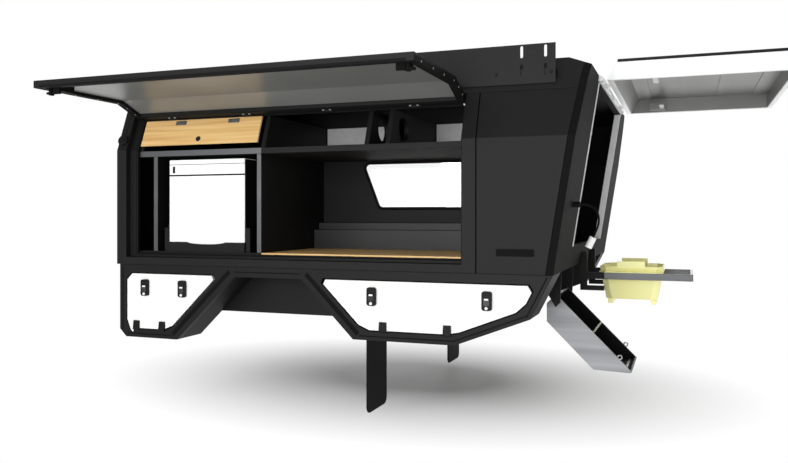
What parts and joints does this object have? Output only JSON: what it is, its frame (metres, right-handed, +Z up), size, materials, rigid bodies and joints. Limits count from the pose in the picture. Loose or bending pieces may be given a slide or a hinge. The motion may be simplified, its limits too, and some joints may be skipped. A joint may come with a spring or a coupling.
{
  "type": "pickup-mounted off-road camper body",
  "caption": "Black pickup-mounted camper body with raised side hatches over a galley, a level rear hatch, lower side lockers with a wheel arch, a hanging tail tray and a washing-up tub.",
  "frame": {"origin": "middle of the chassis bolt pattern on the underside of the subframe rails, above the truck's rear axle", "axes": "+X to the rear of the body, +Y to the body's right-hand side, +Z up"},
  "size_m": [3.0959, 3.2772, 1.65],
  "materials": {
    "body_black": "satin",
    "frame_black": "satin",
    "door_white": "gloss",
    "cabinet_dark": "laminate",
    "cabinet_wood": "oiled",
    "fridge_white": "gloss",
    "aluminium": "mill",
    "tub_lime": "satin",
    "rubber": "matte",
    "window": "clear",
    "fitting_black": "satin",
    "plug_white": "gloss"
  },
  "bodies": {
    "camper_body": {"floor_panel": "body_black", "front_wall": "body_black", "roof_cap": "body_black", "rear_frame": "body_black", "side_frame_left": "body_black", "side_frame_right": "body_black", "rear_quarter_left": "body_black", "rear_quarter_right": "body_black", "subframe": "frame_black", "lower_frame_left": "frame_black", "lower_frame_right": "frame_black", "lower_boxes_left": "frame_black", "lower_boxes_right": "frame_black", "tail_hangers": "frame_black", "sink_brackets": "frame_black", "roof_plate_left": "frame_black", "roof_plate_right": "frame_black", "mud_hangers": "frame_black", "fridge_slides": "frame_black", "roof_rings": "frame_black", "hatch_hinges": "frame_black", "wheel_liners": "frame_black", "galley_back": "cabinet_dark", "galley_partitions": "cabinet_dark", "locker_dividers": "cabinet_dark", "locker_rail": "cabinet_dark", "locker_shelf": "cabinet_dark", "galley_base": "cabinet_dark", "galley_ledge": "cabinet_dark", "galley_board": "cabinet_wood", "rear_hinge": "aluminium", "rear_trim": "aluminium", "sink_frame": "aluminium", "sink_tub": "tub_lime", "mudflaps": "rubber", "lead_cable": "rubber", "galley_window": "window", "side_marker_left": "fitting_black", "side_marker_right": "fitting_black", "lead_gland": "fitting_black", "lead_plug": "plug_white"},
    "side_hatch_left": {"side_hatch_left": "body_black", "hatch_latches_left": "frame_black"},
    "side_hatch_right": {"side_hatch_right": "body_black", "hatch_latches_right": "frame_black"},
    "rear_hatch": {"rear_hatch_rim": "aluminium", "rear_hatch_skin": "body_black"},
    "tail_tray": {"tail_tray": "aluminium"},
    "locker_flap": {"locker_flap": "cabinet_wood"},
    "fridge": {"fridge": "fridge_white", "fridge_tray": "frame_black"},
    "lower_door_front_left": {"lower_door_front_left": "door_white", "door_fittings_front_left": "fitting_black"},
    "lower_door_front_right": {"lower_door_front_right": "door_white", "door_fittings_front_right": "fitting_black"},
    "lower_door_rear_left": {"lower_door_rear_left": "door_white", "door_fittings_rear_left": "fitting_black"},
    "lower_door_rear_right": {"lower_door_rear_right": "door_white", "door_fittings_rear_right": "fitting_black"}
  },
  "joints": [
    {"name": "side_hatch_left_lift", "type": "hinge", "parent": "camper_body", "child": "side_hatch_left", "pos_m": [0, -0.95958, 0.811], "axis": [-1, 0, 0], "range_deg": [-90, 0]},
    {"name": "side_hatch_right_lift", "type": "hinge", "parent": "camper_body", "child": "side_hatch_right", "pos_m": [0, 0.95958, 0.811], "axis": [1, 0, 0], "range_deg": [-90, 0]},
    {"name": "rear_hatch_lift", "type": "hinge", "parent": "camper_body", "child": "rear_hatch", "pos_m": [1.47488, 0, 0.94], "axis": [0, -1, 0], "range_deg": [-99, 0]},
    {"name": "tail_tray_tilt", "type": "hinge", "parent": "camper_body", "child": "tail_tray", "pos_m": [1.262, 0, -0.066], "axis": [0, 1, 0], "range_deg": [-45, 0]},
    {"name": "locker_flap_lift", "type": "hinge", "parent": "camper_body", "child": "locker_flap", "pos_m": [0, -0.94679, 0.79807], "axis": [-1, 0, 0], "range_deg": [0, 55]},
    {"name": "fridge_slide", "type": "slide", "parent": "camper_body", "child": "fridge", "axis": [0, -1, 0], "range_m": [0, 0.45]},
    {"name": "lower_door_front_left_drop", "type": "hinge", "parent": "camper_body", "child": "lower_door_front_left", "pos_m": [0, -1.05, -0.2255], "axis": [1, 0, 0], "range_deg": [0, 100]},
    {"name": "lower_door_front_right_drop", "type": "hinge", "parent": "camper_body", "child": "lower_door_front_right", "pos_m": [0, 1.05, -0.2255], "axis": [-1, 0, 0], "range_deg": [0, 100]},
    {"name": "lower_door_rear_left_drop", "type": "hinge", "parent": "camper_body", "child": "lower_door_rear_left", "pos_m": [0, -1.05, -0.1725], "axis": [1, 0, 0], "range_deg": [0, 100]},
    {"name": "lower_door_rear_right_drop", "type": "hinge", "parent": "camper_body", "child": "lower_door_rear_right", "pos_m": [0, 1.05, -0.1725], "axis": [-1, 0, 0], "range_deg": [0, 100]}
  ]
}
